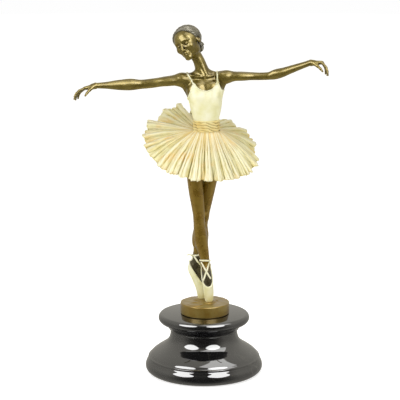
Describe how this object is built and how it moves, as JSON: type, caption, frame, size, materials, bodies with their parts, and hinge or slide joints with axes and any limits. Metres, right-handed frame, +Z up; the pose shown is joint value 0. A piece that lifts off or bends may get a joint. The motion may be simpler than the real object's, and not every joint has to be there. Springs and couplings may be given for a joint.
{
  "type": "bronze dancer statuette",
  "caption": "Ballet dancer cast in bronze, on pointe with arms outstretched, in a painted tutu, on a bronze disc clamped to a turned black marble base.",
  "frame": {"origin": "centre of the felt pad's underside, on the table", "axes": "+Z up; the dancer faces -Y; +X towards her left hand"},
  "size_m": [0.2513, 0.12, 0.3546],
  "materials": {
    "patinated_bronze": "polished brown patina over bronze",
    "dark_patina": "dark green-black patina over bronze",
    "cream_paint": "satin cold paint on bronze",
    "net_paint": "satin cold paint on bronze, cream worn to ochre",
    "black_marble": "polished",
    "zinc_steel": "zinc plated",
    "green_felt": "wool felt"
  },
  "bodies": {
    "root": {"felt_pad": "green_felt", "marble_foot": "black_marble", "marble_cap": "black_marble", "threaded_rod": "zinc_steel", "clamp_washer": "zinc_steel", "clamp_nut": "zinc_steel", "bronze_plinth": "patinated_bronze", "right_leg": "patinated_bronze", "left_leg": "patinated_bronze", "right_pointe_shoe": "cream_paint", "left_pointe_shoe": "cream_paint", "right_ankle_ribbon": "cream_paint", "left_ankle_ribbon": "cream_paint", "hips": "cream_paint", "bodice": "cream_paint", "bust": "patinated_bronze", "right_shoulder_strap": "cream_paint", "left_shoulder_strap": "cream_paint", "sash": "net_paint", "tutu_top_layer": "net_paint", "tutu_middle_layer": "net_paint", "tutu_under_layer": "net_paint", "right_arm": "patinated_bronze", "left_arm": "patinated_bronze", "right_hand": "patinated_bronze", "left_hand": "patinated_bronze", "head": "patinated_bronze", "hair": "dark_patina", "hair_bun": "dark_patina"}
  },
  "joints": []
}
